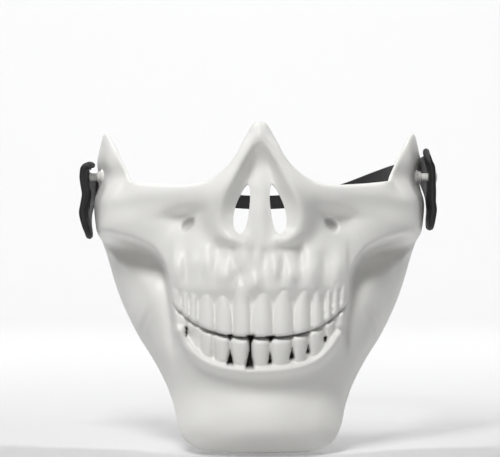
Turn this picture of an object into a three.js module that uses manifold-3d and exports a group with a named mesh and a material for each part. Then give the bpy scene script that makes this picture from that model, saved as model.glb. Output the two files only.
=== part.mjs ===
// Skull half-face mask: a moulded shell worn on the face by an elastic head strap.
// Units are millimetres and +Z is up. The model is laid out with the chin's lowest
// point at height 0, the nose's plane at depth 0 and the wearer's left at +X, and is
// then shifted so that the origin lies midway between the two strap studs.

import * as THREE from 'three';
import { ParametricGeometry } from 'three/addons/geometries/ParametricGeometry.js';
import { mergeVertices } from 'three/addons/utils/BufferGeometryUtils.js';
import Module from 'manifold-3d';

const wasm = await Module();
wasm.setup();

// ---- Driving dimensions -------------------------------------------------------

const SHELL_HEIGHT = 163.5; // chin to the top of the nose bridge
const SHELL_HALF_WIDTH = 87.6; // widest point, at the cheekbones
const SHELL_DEPTH = 99.5; // nose plane to the rear edge
const WALL = 2.4; // moulded wall of the shell
const RELIEF = 1; // depth of the skull's relief, 1 as designed

const STUD_DROP = 25.5; // strap studs' axis below the top of the nose bridge
const STUD_INSET = 15.5; // strap studs' axis ahead of the rear edge
const STUD_RADIUS = 2.0; // shank of a strap stud
const STUD_HEAD_RADIUS = 3.4;
const STUD_HEAD_THICKNESS = 2.0;
const BOSS_WALL = 1.3; // plastic round the shank, moulded on the shell
const BOSS_STAND_OFF = 2.4; // boss face proud of the shell's wall
const WASHER_WALL = 2.6; // ring of the push-on washer
const WASHER_THICKNESS = 1.4;

const TAB_THICKNESS = 3.0;
const TAB_FRONT_HEIGHT = 43; // soft tab, at the stud
const TAB_REAR_HEIGHT = 13; // soft tab, where the band is sewn on
const TAB_ABOVE_STUD = 15; // top edge of the tab over the stud's axis
const TAB_AHEAD = 13; // front edge of the tab ahead of the stud
const TAB_LENGTH = 66;
const CURL_DROP = 8.5; // how much of the right tab's top is curled inwards

const BAND_WIDTH = 8;
const BAND_THICKNESS = 1.2;
const STRAP_REACH = 127; // from the studs back to the middle of the band
const SEWN_OVERLAP = 15; // band lying on the tab
const STITCH_THICKNESS = 0.5;

const NOSTRIL_WIDTH = 8.6;
const NOSTRIL_LENGTH = 24.5;
const NOSTRIL_SPACING = 9.6; // between the two nostrils, at the septum
const NOSTRIL_DROP = 29.5; // top of the nostrils below the top of the nose bridge

const CLEARANCE = 0.3; // between pieces that touch or run on each other
const TAB_HOLE_CLEARANCE = 0.4; // button hole round the stud, on the radius

const ROUND = 24; // facets of a small round piece

// ---- Helpers ------------------------------------------------------------------

// Value at `at` on a smooth curve through a table of [place, value] rows.
function curveThrough(table, at) {
  const last = table.length - 1;
  if (at <= table[0][0]) return table[0][1];
  if (at >= table[last][0]) return table[last][1];
  let i = 0;
  while (at > table[i + 1][0]) i += 1;
  const [x1, y1] = table[i];
  const [x2, y2] = table[i + 1];
  const [x0, y0] = table[Math.max(i - 1, 0)];
  const [x3, y3] = table[Math.min(i + 2, last)];
  const span = x2 - x1;
  const slope1 = (y2 - y0) / (x2 - x0);
  const slope2 = (y3 - y1) / (x3 - x1);
  const t = (at - x1) / span;
  const t2 = t * t;
  const t3 = t2 * t;
  return (
    (2 * t3 - 3 * t2 + 1) * y1 +
    (t3 - 2 * t2 + t) * span * slope1 +
    (3 * t2 - 2 * t3) * y2 +
    (t3 - t2) * span * slope2
  );
}

// A smooth hill of height 1 at (cx, cz) that falls away over rx and rz.
function hill(x, z, cx, cz, rx, rz) {
  return Math.exp(-(((x - cx) / rx) ** 2) - ((z - cz) / rz) ** 2);
}

// Merged positions as a manifold solid, with triangles that have no area left out.
function solidOf(geometry) {
  const bare = geometry.clone();
  bare.deleteAttribute('normal');
  bare.deleteAttribute('uv');
  const merged = mergeVertices(bare, 1e-4);
  const index = merged.index.array;
  const kept = [];
  for (let i = 0; i < index.length; i += 3) {
    const [a, b, c] = [index[i], index[i + 1], index[i + 2]];
    if (a !== b && b !== c && c !== a) kept.push(a, b, c);
  }
  const build = (triangles) =>
    new wasm.Manifold(
      new wasm.Mesh({
        numProp: 3,
        vertProperties: new Float32Array(merged.attributes.position.array),
        triVerts: new Uint32Array(triangles),
      }),
    );
  const solid = build(kept);
  return solid.volume() > 0 ? solid : build(kept.reverse());
}

function geometryOf(solid) {
  const mesh = solid.getMesh();
  const geometry = new THREE.BufferGeometry();
  geometry.setAttribute('position', new THREE.BufferAttribute(mesh.vertProperties, 3));
  geometry.setIndex(new THREE.BufferAttribute(mesh.triVerts, 1));
  geometry.computeVertexNormals();
  return geometry;
}

// A closed sheet between two faces. front(s, t) and back(s, t) give points for s and t
// from 0 to 1; `stations` lists the values of s, and `rows` counts the steps in t.
function thickSheet(front, back, stations, rows) {
  const columns = stations.length;
  const around = 2 * columns;
  const stacks = rows + 2;
  const point = (u, v, target) => {
    const i = Math.round(u * around) % around;
    const j = Math.round(v * stacks);
    const onFront = i < columns;
    const s = stations[onFront ? i : around - 1 - i];
    const t = Math.min(Math.max((j - 1) / rows, 0), 1);
    if (j === 0 || j === stacks) target.copy(front(s, t)).add(back(s, t)).multiplyScalar(0.5);
    else target.copy(onFront ? front(s, t) : back(s, t));
  };
  return new ParametricGeometry(point, around, stacks);
}

// A round piece turned about the X axis from a closed [radius, x] profile.
function turnedAlongX(profile) {
  const points = profile.map(([radius, x]) => new THREE.Vector2(radius, x));
  const geometry = new THREE.LatheGeometry(points, ROUND);
  geometry.rotateZ(-Math.PI / 2);
  return geometry;
}

// ---- The shell's form -----------------------------------------------------------

// Rows of [share of the height, share of the half width], [.., nose plane to face in
// shares of the depth] and [.., rear edge in shares of the depth].
const WIDTH_ROWS = [
  [-0.05, 0.46], [0.05, 0.485], [0.16, 0.515], [0.25, 0.6], [0.35, 0.725], [0.47, 0.84],
  [0.6, 0.925], [0.7, 0.985], [0.76, 1], [0.84, 0.972], [0.89, 0.985], [0.97, 0.955], [1, 0.95],
];
const FACE_ROWS = [
  [0, 0.15], [0.08, 0.07], [0.2, 0.085], [0.3, 0.07], [0.45, 0.065], [0.56, 0.075],
  [0.68, 0.115], [0.85, 0.11], [1, 0.16],
];
const REAR_ROWS = [
  [0, 0.36], [0.08, 0.43], [0.2, 0.56], [0.33, 0.7], [0.43, 0.8], [0.56, 0.93], [0.7, 1],
  [0.85, 1], [1, 0.97],
];
// How V-shaped the level sections are: 1 is an ellipse, more is sharper in front.
const SHARPNESS_ROWS = [[0, 0.85], [0.3, 1.05], [0.55, 1.2], [1, 1.25]];

// Columns of the sheet, from the middle to the rear edge: [place along the sheet, top
// edge across as a share of the half width, top edge up as a share of the height].
const TOP_COLUMNS = [
  [0, 0, 1], [0.04, 0.035, 0.994], [0.1, 0.09, 0.945], [0.16, 0.14, 0.9], [0.22, 0.2, 0.862],
  [0.29, 0.29, 0.825], [0.37, 0.4, 0.809], [0.48, 0.55, 0.812], [0.56, 0.67, 0.822],
  [0.62, 0.75, 0.838], [0.68, 0.8, 0.88], [0.74, 0.86, 0.94], [0.8, 0.93, 0.988],
  [0.85, 0.962, 0.975], [0.92, 0.985, 0.92], [1, 1, 0.87],
];
const BOTTOM_COLUMNS = [
  [0, 0, 0], [0.2, 0.14, 0.001], [0.4, 0.27, 0.004], [0.55, 0.36, 0.014], [0.7, 0.425, 0.034],
  [0.85, 0.468, 0.075], [0.93, 0.487, 0.12], [1, 0.52, 0.17],
];

// Angle round the section, 0 in front and a quarter turn at the rear edge.
function angleOf(across, up) {
  const width = curveThrough(WIDTH_ROWS, up);
  return Math.asin(Math.min(across / width, 1));
}

function columnOf(rows, place) {
  const across = curveThrough(rows.map((row) => [row[0], row[1]]), place);
  const up = curveThrough(rows.map((row) => [row[0], row[2]]), place);
  return { angle: place >= 1 ? Math.PI / 2 : angleOf(across, up), up };
}

// The smooth face form: angle from -90 to 90 degrees, height as a share.
function faceForm(angle, up) {
  const rear = curveThrough(REAR_ROWS, up) * SHELL_DEPTH;
  const face = curveThrough(FACE_ROWS, up) * SHELL_DEPTH;
  const sharpness = curveThrough(SHARPNESS_ROWS, up);
  const forward = Math.max(Math.cos(angle), 0) ** sharpness;
  return new THREE.Vector3(
    curveThrough(WIDTH_ROWS, up) * SHELL_HALF_WIDTH * Math.sin(angle),
    rear - (rear - face) * forward,
    up * SHELL_HEIGHT,
  );
}

// The skull's relief, forwards in millimetres: [height, across, up, reach across, reach
// up], with the places as shares of the half width and the height.
const RELIEFS = [
  [10, 0, 0.93, 0.13, 0.09], // nose bridge
  [6, 0.13, 0.8, 0.1, 0.08], // flank of the nose
  [-5, 0.13, 0.72, 0.12, 0.12], // nasal opening
  [5, 0, 0.7, 0.045, 0.12], // wall between the nostrils
  [4, 0.6, 0.72, 0.22, 0.07], // cheekbone
  [-9, 0.66, 0.58, 0.16, 0.07], // hollow under the cheekbone
  [4, 0.3, 0.46, 0.22, 0.16], // upper jaw
  [3, 0, 0.3, 0.42, 0.05], // lower teeth
  [3.5, 0, 0.255, 0.4, 0.02], // lip of the lower jaw
  [4, 0, 0.09, 0.3, 0.08], // chin
];

// The relief fades out where the face turns into its side walls.
const SIDE_STARTS = 0.8;
const SIDE_FULL = 1.25;

function skullRelief(point, angle) {
  const across = Math.abs(point.x) / SHELL_HALF_WIDTH;
  const up = point.z / SHELL_HEIGHT;
  let forwards = 0;
  for (const [rise, cx, cz, rx, rz] of RELIEFS) forwards += rise * hill(across, up, cx, cz, rx, rz);
  return forwards * RELIEF * (1 - THREE.MathUtils.smoothstep(angle, SIDE_STARTS, SIDE_FULL));
}

// Point of the outer face for s from 0 (wearer's right edge) to 1 (left edge).
function outerPoint(s, t) {
  const side = s < 0.5 ? -1 : 1;
  const place = Math.abs(2 * s - 1);
  const top = columnOf(TOP_COLUMNS, place);
  const bottom = columnOf(BOTTOM_COLUMNS, place);
  const angle = bottom.angle + (top.angle - bottom.angle) * t;
  const up = bottom.up + (top.up - bottom.up) * t;
  const point = faceForm(angle * side, up);
  point.y -= skullRelief(point, angle);
  return point;
}

const PROBE = 2e-3; // step for reading the direction of the surface

function innerPoint(s, t) {
  const sLow = Math.max(s - PROBE, 0);
  const tLow = Math.max(t - PROBE, 0);
  const along = outerPoint(Math.min(s + PROBE, 1), t).sub(outerPoint(sLow, t));
  const upwards = outerPoint(s, Math.min(t + PROBE, 1)).sub(outerPoint(s, tLow));
  const inwards = new THREE.Vector3().crossVectors(upwards, along).normalize();
  return outerPoint(s, t).addScaledVector(inwards, WALL);
}

// Outer wall of the shell at a given depth and height, as a distance from the middle.
function sideWall(depth, rise) {
  const up = rise / SHELL_HEIGHT;
  const rear = curveThrough(REAR_ROWS, up) * SHELL_DEPTH;
  const face = curveThrough(FACE_ROWS, up) * SHELL_DEPTH;
  const share = Math.min(Math.max((rear - depth) / (rear - face), 0), 1);
  const angle = Math.acos(share ** (1 / curveThrough(SHARPNESS_ROWS, up)));
  return curveThrough(WIDTH_ROWS, up) * SHELL_HALF_WIDTH * Math.sin(angle);
}

// ---- Places along a stud's axis, as distances from the middle ---------------------

const STUD_BACK = SHELL_DEPTH - STUD_INSET;
const STUD_RISE = SHELL_HEIGHT - STUD_DROP;

const WALL_OUTSIDE = sideWall(STUD_BACK, STUD_RISE);
const BOSS_FACE = WALL_OUTSIDE + BOSS_STAND_OFF;
const TAB_INSIDE = Math.max(BOSS_FACE, SHELL_HALF_WIDTH) + 2 * CLEARANCE;
const TAB_OUTSIDE = TAB_INSIDE + TAB_THICKNESS;
const HEAD_FACE = TAB_OUTSIDE + CLEARANCE;
const BOSS_RADIUS = STUD_RADIUS + CLEARANCE + BOSS_WALL;
const WASHER_RIM = STUD_RADIUS + CLEARANCE + WASHER_WALL;
// The wall leans, so the washer clears it where it comes furthest in under the rim.
const WALL_UNDER_WASHER = Math.min(
  ...[-1, 0, 1].flatMap((a) => [-1, 0, 1].map((b) => sideWall(STUD_BACK + a * WASHER_RIM, STUD_RISE + b * WASHER_RIM))),
);
// Boss end inside the shell.
const BOSS_ROOT = Math.min(WALL_OUTSIDE - WALL - 1.6, WALL_UNDER_WASHER - WALL - CLEARANCE);
const WASHER_FACE = BOSS_ROOT - CLEARANCE;
const SHANK_END = WASHER_FACE - WASHER_THICKNESS - 1.2;

// ---- Pieces -----------------------------------------------------------------------

const white = new THREE.MeshStandardMaterial({ color: 0xe9e7e1, roughness: 0.45, metalness: 0 });
const black = new THREE.MeshStandardMaterial({ color: 0x211f21, roughness: 0.85, metalness: 0 });
const thread = new THREE.MeshStandardMaterial({ color: 0x2b2a2c, roughness: 0.9, metalness: 0 });

const mask = new THREE.Group();
mask.position.set(0, -STUD_BACK, -STUD_RISE);

function addPiece(name, geometry, material) {
  const mesh = new THREE.Mesh(geometry, material);
  mesh.name = name;
  mask.add(mesh);
}

// One nostril: a teardrop, narrow at the top and round below, cut straight through.
function nostrilCutter(side) {
  const radius = NOSTRIL_WIDTH / 2;
  const inner = NOSTRIL_SPACING / 2;
  const outer = inner + NOSTRIL_WIDTH;
  const top = SHELL_HEIGHT - NOSTRIL_DROP;
  const roundAt = top - NOSTRIL_LENGTH + radius;
  const outline = new THREE.Shape();
  outline.moveTo(inner + 0.15 * radius, top);
  outline.quadraticCurveTo(outer - 0.45 * radius, top - 0.33 * NOSTRIL_LENGTH, outer, roundAt);
  outline.absarc(inner + radius, roundAt, radius, 0, -Math.PI, true);
  outline.closePath();
  const geometry = new THREE.ExtrudeGeometry(outline, {
    depth: SHELL_DEPTH / 2,
    bevelEnabled: false,
    curveSegments: 8,
  });
  geometry.rotateX(Math.PI / 2);
  geometry.translate(0, SHELL_DEPTH / 2 - WALL, 0);
  if (side < 0) geometry.rotateZ(Math.PI).translate(0, SHELL_DEPTH / 2 - 2 * WALL, 0);
  return solidOf(geometry);
}

function studBore() {
  const length = WALL_OUTSIDE;
  const bore = new THREE.CylinderGeometry(STUD_RADIUS + CLEARANCE, STUD_RADIUS + CLEARANCE, length, ROUND);
  return bore.rotateZ(Math.PI / 2);
}

function bossSolid() {
  return turnedAlongX([
    [0, BOSS_ROOT],
    [BOSS_RADIUS + 1, BOSS_ROOT],
    [BOSS_RADIUS + 1, WALL_OUTSIDE - 0.5],
    [BOSS_RADIUS, BOSS_FACE],
    [0, BOSS_FACE],
  ]);
}

// Share of the sheet from the middle, with more columns where the face bends most.
function shellStations() {
  const half = [0, 0.05, 0.1, 0.16, 0.22, 0.29, 0.36, 0.43, 0.5, 0.56, 0.62, 0.68, 0.74, 0.8, 0.85, 0.92, 1];
  const left = half.slice(1).reverse().map((place) => 0.5 - place / 2);
  return [...left, ...half.map((place) => 0.5 + place / 2)];
}

const SHELL_ROWS = 22;

function maskShell() {
  let shell = solidOf(thickSheet(outerPoint, innerPoint, shellStations(), SHELL_ROWS));
  for (const side of [-1, 1]) {
    const boss = bossSolid().translate(0, STUD_BACK, STUD_RISE);
    const bore = studBore().translate(WALL_OUTSIDE, STUD_BACK, STUD_RISE);
    if (side < 0) [boss, bore].forEach((piece) => piece.rotateY(Math.PI).translate(0, 0, 2 * STUD_RISE));
    shell = shell.add(solidOf(boss)).subtract(solidOf(bore)).subtract(nostrilCutter(side));
  }
  return geometryOf(shell);
}

function mirrored(geometry, side) {
  return side < 0 ? geometry.rotateY(Math.PI) : geometry;
}

// A mushroom stud: domed head outside the tab, shank through the boss, ridge inside.
function stud(side) {
  const dome = STUD_HEAD_THICKNESS;
  const geometry = turnedAlongX([
    [0, SHANK_END],
    [STUD_RADIUS - 0.4, SHANK_END],
    [STUD_RADIUS, SHANK_END + 0.5],
    [STUD_RADIUS, HEAD_FACE],
    [STUD_HEAD_RADIUS, HEAD_FACE],
    [STUD_HEAD_RADIUS, HEAD_FACE + 0.45 * dome],
    [STUD_HEAD_RADIUS * 0.8, HEAD_FACE + 0.85 * dome],
    [STUD_HEAD_RADIUS * 0.45, HEAD_FACE + dome],
    [0, HEAD_FACE + dome],
  ]);
  return mirrored(geometry, side).translate(0, STUD_BACK, STUD_RISE);
}

// A push-on washer that keeps the stud's shank in the shell.
function studWasher(side) {
  const hole = STUD_RADIUS + CLEARANCE;
  const rim = WASHER_RIM;
  const geometry = turnedAlongX([
    [hole, WASHER_FACE - WASHER_THICKNESS],
    [rim, WASHER_FACE - WASHER_THICKNESS],
    [rim, WASHER_FACE],
    [hole, WASHER_FACE],
    [hole, WASHER_FACE - WASHER_THICKNESS],
  ]);
  return mirrored(geometry, side).translate(0, STUD_BACK, STUD_RISE);
}

// The strap's run on one side, seen from above: [depth behind the stud, distance from
// the middle] of the tab's middle, then the band as it turns round the wearer's head.
const TAB_MIDDLE = (TAB_INSIDE + TAB_OUTSIDE) / 2;
const TAB_REAR = TAB_LENGTH - TAB_AHEAD;

function strapRun(side) {
  const bend = [
    [-TAB_AHEAD, 1], [0, 1], [0.2 * STRAP_REACH, 1], [0.31 * STRAP_REACH, 0.985],
    [0.42 * STRAP_REACH, 0.945], [0.65 * STRAP_REACH, 0.8], [0.85 * STRAP_REACH, 0.56],
    [0.965 * STRAP_REACH, 0.28], [STRAP_REACH, 0],
  ];
  return bend.map(([behind, across]) => new THREE.Vector3(side * TAB_MIDDLE * across, STUD_BACK + behind, 0));
}

// Height of the band's middle over the stud's axis. The wearer's right hangs lower.
const BAND_RISE_ROWS = {
  left: [[0, 5], [0.45, 6], [0.55, 4], [0.77, -5], [1, -11.5]],
  right: [[0, -4], [0.45, -5], [1, -11.5]],
};

const leftHalf = strapRun(1);
const rightHalf = strapRun(-1).reverse().slice(1);
const strapCurve = new THREE.CatmullRomCurve3([...leftHalf, ...rightHalf], false, 'centripetal');
const STRAP_LENGTH = strapCurve.getLength();

// A point and its outward direction at a distance along the strap from its left end.
function strapAt(distance) {
  const share = Math.min(Math.max(distance / STRAP_LENGTH, 0), 1);
  const point = strapCurve.getPointAt(share);
  const along = strapCurve.getTangentAt(share);
  const outwards = new THREE.Vector3(along.y, -along.x, 0).normalize();
  const side = share < 0.5 ? 'left' : 'right';
  const fromStud = 1 - Math.abs(1 - 2 * share);
  return { point, outwards, middle: STUD_RISE + curveThrough(BAND_RISE_ROWS[side], fromStud) };
}

// One face of a ribbon along the strap: `offset` outwards, between two edge heights.
function strapFace(from, to, offset, edges) {
  return (s, t) => {
    const distance = from + (to - from) * s;
    const { point, outwards, middle } = strapAt(distance);
    const { low, high } = edges(distance, middle);
    const place = point.clone().addScaledVector(outwards, offset);
    return place.setZ(low + (high - low) * t);
  };
}

function ribbon(from, to, inside, outside, edges, steps, rows) {
  const stations = Array.from({ length: steps + 1 }, (_, i) => i / steps);
  const outer = strapFace(from, to, outside, edges);
  const inner = strapFace(from, to, inside, edges);
  return thickSheet(outer, inner, stations, rows);
}

// Edges of a tab: tall in front, narrowing to the band. Shares of the tab's length.
function tabEdges(side) {
  const top = side > 0 ? TAB_ABOVE_STUD : TAB_ABOVE_STUD - CURL_DROP;
  const low = TAB_ABOVE_STUD - TAB_FRONT_HEIGHT;
  return (distance, middle) => {
    const along = (side > 0 ? distance : STRAP_LENGTH - distance) / TAB_LENGTH;
    const end = { low: middle - TAB_REAR_HEIGHT / 2, high: middle + TAB_REAR_HEIGHT / 2 };
    const narrowing = THREE.MathUtils.smoothstep(along, 0.3, 0.95);
    const rounding = 5 * Math.max(0, 1 - along / 0.12) ** 2;
    return {
      low: THREE.MathUtils.lerp(STUD_RISE + low + rounding, end.low, narrowing),
      high: THREE.MathUtils.lerp(STUD_RISE + top - rounding * 0.3, end.high, narrowing),
    };
  };
}

const TAB_STEPS = 16;
const TAB_ROWS = 3;

function buttonHole(side) {
  const radius = STUD_RADIUS + TAB_HOLE_CLEARANCE;
  const hole = new THREE.CylinderGeometry(radius, radius, 3 * TAB_THICKNESS, ROUND);
  return hole.rotateZ(Math.PI / 2).translate(side * TAB_MIDDLE, STUD_BACK, STUD_RISE);
}

// The right tab's top is curled inwards over the stud, as a short shelf.
function curledTop() {
  const clearOfStud = BOSS_RADIUS + CLEARANCE;
  const rise = TAB_ABOVE_STUD - CURL_DROP - clearOfStud;
  const reach = 1.2;
  const shelf = new THREE.BoxGeometry(TAB_THICKNESS / 2 + reach, TAB_AHEAD + 6, rise);
  const x = -(TAB_INSIDE - reach + (TAB_THICKNESS / 2 + reach) / 2);
  return shelf.translate(x, STUD_BACK - TAB_AHEAD / 2 + 3.5, STUD_RISE + clearOfStud + rise / 2);
}

function strapTab(side) {
  const from = side > 0 ? 0 : STRAP_LENGTH - TAB_LENGTH;
  const half = TAB_THICKNESS / 2;
  const sheet = ribbon(from, from + TAB_LENGTH, -half, half, tabEdges(side), TAB_STEPS, TAB_ROWS);
  let tab = solidOf(sheet);
  if (side < 0) tab = tab.add(solidOf(curledTop()));
  return geometryOf(tab.subtract(solidOf(buttonHole(side))));
}

// The elastic band, sewn to the inner face of both tabs.
const BAND_STEPS = 64;

function strapBand() {
  const start = TAB_LENGTH - SEWN_OVERLAP;
  const outside = -TAB_THICKNESS / 2 - CLEARANCE;
  const edges = (distance, middle) => ({ low: middle - BAND_WIDTH / 2, high: middle + BAND_WIDTH / 2 });
  return ribbon(start, STRAP_LENGTH - start, outside - BAND_THICKNESS, outside, edges, BAND_STEPS, 1);
}

// The thread block that shows on the tab's outer face where the band is sewn on.
function strapStitching(side) {
  const margin = 2.5;
  const near = TAB_LENGTH - SEWN_OVERLAP + margin;
  const far = TAB_LENGTH - margin;
  const inside = TAB_THICKNESS / 2 + CLEARANCE;
  const from = side > 0 ? near : STRAP_LENGTH - far;
  const to = side > 0 ? far : STRAP_LENGTH - near;
  const height = BAND_WIDTH - 2;
  const edges = (distance, middle) => ({ low: middle - height / 2, high: middle + height / 2 });
  return ribbon(from, to, inside, inside + STITCH_THICKNESS, edges, 6, 1);
}

addPiece('mask_shell', maskShell(), white);
for (const [name, side] of [['left', 1], ['right', -1]]) {
  addPiece(`${name}_stud`, stud(side), white);
  addPiece(`${name}_stud_washer`, studWasher(side), white);
  addPiece(`${name}_strap_tab`, strapTab(side), black);
  addPiece(`${name}_strap_stitching`, geometryOf(solidOf(strapStitching(side))), thread);
}
addPiece('strap_band', geometryOf(solidOf(strapBand())), black);

const group = new THREE.Group();
group.add(mask);

export default group;
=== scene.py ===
"""Skull half-face mask: a moulded shell with a soft buttoned head strap."""

import math

import bmesh
import bpy
import numpy as np
from bpy.props import FloatProperty, FloatVectorProperty, IntProperty, PointerProperty
from mathutils import Matrix, Vector


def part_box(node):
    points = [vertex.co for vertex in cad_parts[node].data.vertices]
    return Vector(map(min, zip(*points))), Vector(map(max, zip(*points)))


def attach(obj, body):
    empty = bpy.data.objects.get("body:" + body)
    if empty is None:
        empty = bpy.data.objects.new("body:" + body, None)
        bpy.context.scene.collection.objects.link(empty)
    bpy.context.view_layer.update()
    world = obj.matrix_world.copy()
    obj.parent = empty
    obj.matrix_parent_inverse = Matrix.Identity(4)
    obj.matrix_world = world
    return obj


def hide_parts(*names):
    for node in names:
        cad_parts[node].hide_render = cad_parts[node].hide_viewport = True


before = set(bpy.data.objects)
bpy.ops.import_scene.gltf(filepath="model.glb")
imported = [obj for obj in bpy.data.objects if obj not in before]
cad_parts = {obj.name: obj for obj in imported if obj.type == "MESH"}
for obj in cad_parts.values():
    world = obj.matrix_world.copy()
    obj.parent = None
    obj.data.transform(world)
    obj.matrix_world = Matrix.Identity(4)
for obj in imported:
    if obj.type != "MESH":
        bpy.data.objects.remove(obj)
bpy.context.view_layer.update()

bl_info = {
    "name": "Skull Half-Face Mask",
    "version": (1, 0, 0),
    "blender": (4, 5, 0),
    "location": "View3D > Sidebar > Mask",
    "description": "Builds a moulded skull half-face mask with its head strap",
    "category": "Add Mesh",
}

MM = 0.001

# ---- Sizes, in millimetres ------------------------------------------------------
# The pieces are laid out with the chin's lowest point at height 0 and the middle of
# the face at 0 across; +Y runs back from the plane of the nose.

SHELL_LOW, SHELL_HIGH = (np.array(corner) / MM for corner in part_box("mask_shell"))
SHELL_HEIGHT = SHELL_HIGH[2] - SHELL_LOW[2]
HALF_WIDTH = 87.6
DEPTH = 99.5
STUD_INSET = 15.5
STUD_BACK = DEPTH - STUD_INSET
STUD_RISE = -SHELL_LOW[2]
SHIFT = np.array((0.0, -STUD_BACK, -STUD_RISE))


# ---- Settings ---------------------------------------------------------------------


class ShellSettings(bpy.types.PropertyGroup):
    wall: FloatProperty(name="Wall", description="Thickness of the moulded wall", default=0.0024, unit="LENGTH")
    relief: FloatProperty(name="Relief", description="Strength of the skull's relief", default=1.0)
    smoothing: IntProperty(name="Smoothing", description="Blur passes over the sculpted face", default=2)
    colour: FloatVectorProperty(
        name="Plastic", description="Colour of the moulded shell", default=(0.80, 0.795, 0.765), subtype="COLOR"
    )
    roughness: FloatProperty(name="Roughness", description="Roughness of the plastic", default=0.42)


class StrapSettings(bpy.types.PropertyGroup):
    tab_thickness: FloatProperty(
        name="Tab thickness", description="Thickness of a soft tab", default=0.0032, unit="LENGTH"
    )
    tab_colour: FloatVectorProperty(
        name="Tab", description="Colour of the soft tabs", default=(0.012, 0.011, 0.012), subtype="COLOR"
    )
    band_colour: FloatVectorProperty(
        name="Band", description="Colour of the woven elastic", default=(0.014, 0.013, 0.015), subtype="COLOR"
    )


class StageSettings(bpy.types.PropertyGroup):
    distance: FloatProperty(
        name="Camera distance", description="From the nose to the camera", default=0.9, unit="LENGTH"
    )
    focal: FloatProperty(name="Focal length", description="Focal length of the camera in millimetres", default=134.9)


# ---- Numeric helpers ----------------------------------------------------------------


def through(rows, at):
    """Values at `at` on a smooth curve through rows of (place, value)."""
    xs, ys = np.array(rows, float).T
    at = np.clip(at, xs[0], xs[-1])
    low = np.clip(np.searchsorted(xs, at, side="right") - 1, 0, len(xs) - 2)
    before, after = np.maximum(low - 1, 0), np.minimum(low + 2, len(xs) - 1)
    span = xs[low + 1] - xs[low]
    slope_low = (ys[low + 1] - ys[before]) / (xs[low + 1] - xs[before])
    slope_high = (ys[after] - ys[low]) / (xs[after] - xs[low])
    t = (at - xs[low]) / span
    return (
        (2 * t**3 - 3 * t**2 + 1) * ys[low]
        + (t**3 - 2 * t**2 + t) * span * slope_low
        + (3 * t**2 - 2 * t**3) * ys[low + 1]
        + (t**3 - t**2) * span * slope_high
    )


def ramp(low, high, at):
    """0 below `low`, 1 above `high`, smooth between; the limits may be turned round."""
    t = np.clip((at - low) / (high - low), 0, 1)
    return t * t * (3 - 2 * t)


def hill(x, z, cx, cz, rx, rz, turn=0.0):
    """A smooth hill of height 1 that falls away over rx and rz, turned by `turn` degrees."""
    c, s = math.cos(math.radians(turn)), math.sin(math.radians(turn))
    dx, dz = x - cx, z - cz
    return np.exp(-(((dx * c + dz * s) / rx) ** 2) - ((dz * c - dx * s) / rz) ** 2)


def beside(points, x, z):
    """Signed distance from a line of points: positive to the left of its direction."""
    best = np.full(x.shape, 1e9)
    sign = np.ones(x.shape)
    for (ax, az), (bx, bz) in zip(points[:-1], points[1:]):
        ux, uz = bx - ax, bz - az
        share = np.clip(((x - ax) * ux + (z - az) * uz) / (ux * ux + uz * uz), 0, 1)
        dx, dz = x - ax - share * ux, z - az - share * uz
        distance = np.hypot(dx, dz)
        nearer = distance < best - 1e-9
        best = np.where(nearer, distance, best)
        sign = np.where(nearer, np.where(ux * (z - az) - uz * (x - ax) > 0, 1.0, -1.0), sign)
    return best * sign


def smooth_line(points, steps=6):
    """More points on a smooth curve through a few."""
    places = np.arange(len(points))
    fine = np.linspace(0, len(points) - 1, (len(points) - 1) * steps + 1)
    xs, zs = (through(list(zip(places, axis)), fine) for axis in zip(*points))
    return list(zip(xs, zs))


# ---- The shell's form ------------------------------------------------------------------

# Rows of (share of the height, share of the half width or of the depth).
WIDTH_ROWS = (
    (-0.05, 0.46), (0.05, 0.485), (0.16, 0.515), (0.25, 0.6), (0.35, 0.725), (0.47, 0.84),
    (0.6, 0.925), (0.7, 0.985), (0.76, 1), (0.84, 0.972), (0.89, 0.985), (0.97, 0.955), (1, 0.95),
)
FACE_ROWS = (
    (0, 0.15), (0.08, 0.07), (0.2, 0.085), (0.3, 0.07), (0.45, 0.065), (0.56, 0.075),
    (0.68, 0.115), (0.85, 0.11), (1, 0.16),
)
REAR_ROWS = (
    (0, 0.36), (0.08, 0.43), (0.2, 0.56), (0.33, 0.7), (0.43, 0.8), (0.56, 0.93), (0.7, 1), (0.85, 1),
    (1, 0.97),
)
SHARPNESS_ROWS = ((0, 0.85), (0.3, 1.05), (0.55, 1.2), (1, 1.25))

# Top and bottom edges of the sheet: (place from the middle to the rear edge, across as a
# share of the half width, up as a share of the height).
TOP_EDGE = (
    (0, 0, 1), (0.04, 0.042, 0.992), (0.1, 0.094, 0.945), (0.16, 0.14, 0.9), (0.22, 0.2, 0.862),
    (0.29, 0.29, 0.828), (0.37, 0.4, 0.813), (0.48, 0.55, 0.816), (0.56, 0.67, 0.825),
    (0.62, 0.75, 0.838), (0.68, 0.8, 0.88), (0.74, 0.86, 0.94), (0.8, 0.93, 0.988),
    (0.85, 0.962, 0.975), (0.92, 0.985, 0.92), (1, 1, 0.87),
)
BOTTOM_EDGE = (
    (0, 0, 0), (0.2, 0.14, 0.001), (0.4, 0.27, 0.004), (0.55, 0.36, 0.014), (0.7, 0.425, 0.034),
    (0.85, 0.468, 0.075), (0.93, 0.487, 0.12), (1, 0.52, 0.17),
)


def edge_at(rows, place):
    across = through([(p, a) for p, a, _ in rows], place)
    up = through([(p, u) for p, _, u in rows], place)
    angle = np.arcsin(np.clip(across / through(WIDTH_ROWS, up), 0, 1))
    return np.where(place >= 1, math.pi / 2, angle), up


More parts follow.
